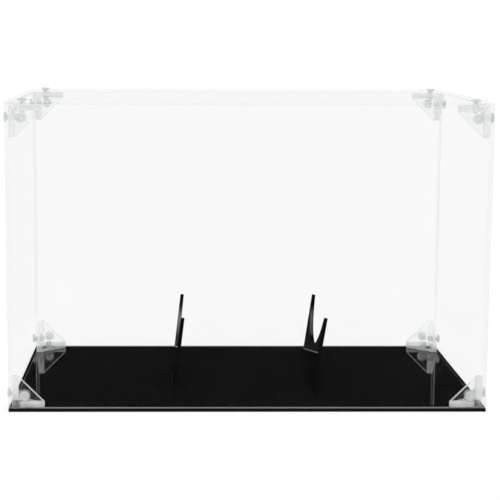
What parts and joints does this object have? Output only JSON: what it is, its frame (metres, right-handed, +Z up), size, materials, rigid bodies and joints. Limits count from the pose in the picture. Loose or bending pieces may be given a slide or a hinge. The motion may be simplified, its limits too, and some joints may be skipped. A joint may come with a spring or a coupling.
{
  "type": "football display case",
  "caption": "Clear rectangular display case with a black base, corner brackets, push rivets, a lift-off top and black U-shaped cradle plates that hold a ball lengthwise.",
  "frame": {"origin": "centre of the base panel's underside, on the surface that the case stands on", "axes": "+X to the right along the case's length, +Y from front to back, +Z up"},
  "size_m": [0.353, 0.223, 0.228],
  "materials": {
    "clear_acrylic": "clear polished sheet",
    "black_acrylic": "opaque black, polished",
    "bracket_plastic": "clear moulded plastic, slightly hazy",
    "rivet_nylon": "translucent natural moulded plastic"
  },
  "bodies": {
    "case": {"base_panel": "black_acrylic", "front_panel": "clear_acrylic", "back_panel": "clear_acrylic", "left_panel": "clear_acrylic", "right_panel": "clear_acrylic", "corner_bracket_bottom_front_left": "bracket_plastic", "corner_bracket_bottom_front_right": "bracket_plastic", "corner_bracket_bottom_back_left": "bracket_plastic", "corner_bracket_bottom_back_right": "bracket_plastic", "corner_bracket_top_front_left": "bracket_plastic", "corner_bracket_top_front_right": "bracket_plastic", "corner_bracket_top_back_left": "bracket_plastic", "corner_bracket_top_back_right": "bracket_plastic", "front_rivet_sleeves": "rivet_nylon", "front_rivet_pins": "rivet_nylon", "back_rivet_sleeves": "rivet_nylon", "back_rivet_pins": "rivet_nylon", "left_rivet_sleeves": "rivet_nylon", "left_rivet_pins": "rivet_nylon", "right_rivet_sleeves": "rivet_nylon", "right_rivet_pins": "rivet_nylon", "base_rivet_sleeves": "rivet_nylon", "base_rivet_pins": "rivet_nylon"},
    "lid": {"top_panel": "clear_acrylic", "top_rivet_sleeve_front_left": "rivet_nylon", "top_rivet_sleeve_front_right": "rivet_nylon", "top_rivet_sleeve_back_left": "rivet_nylon", "top_rivet_sleeve_back_right": "rivet_nylon"},
    "pin_front_left": {"top_rivet_pin_front_left": "rivet_nylon"},
    "pin_front_right": {"top_rivet_pin_front_right": "rivet_nylon"},
    "pin_back_left": {"top_rivet_pin_back_left": "rivet_nylon"},
    "pin_back_right": {"top_rivet_pin_back_right": "rivet_nylon"},
    "cradle_left": {"cradle_plate_left": "black_acrylic"},
    "cradle_right": {"cradle_plate_right": "black_acrylic"}
  },
  "joints": [
    {"name": "lid_lift", "type": "slide", "parent": "case", "child": "lid", "axis": [0, 0, 1], "range_m": [0, 0.2]},
    {"name": "pin_pull_front_left", "type": "slide", "parent": "lid", "child": "pin_front_left", "axis": [0, 0, 1], "range_m": [0, 0.006]},
    {"name": "pin_pull_front_right", "type": "slide", "parent": "lid", "child": "pin_front_right", "axis": [0, 0, 1], "range_m": [0, 0.006]},
    {"name": "pin_pull_back_left", "type": "slide", "parent": "lid", "child": "pin_back_left", "axis": [0, 0, 1], "range_m": [0, 0.006]},
    {"name": "pin_pull_back_right", "type": "slide", "parent": "lid", "child": "pin_back_right", "axis": [0, 0, 1], "range_m": [0, 0.006]},
    {"name": "cradle_lift_left", "type": "slide", "parent": "case", "child": "cradle_left", "axis": [0.1132, 0, 0.9936], "range_m": [0, 0.03]},
    {"name": "cradle_lift_right", "type": "slide", "parent": "case", "child": "cradle_right", "axis": [0.1495, 0, 0.9888], "range_m": [0, 0.03]}
  ]
}
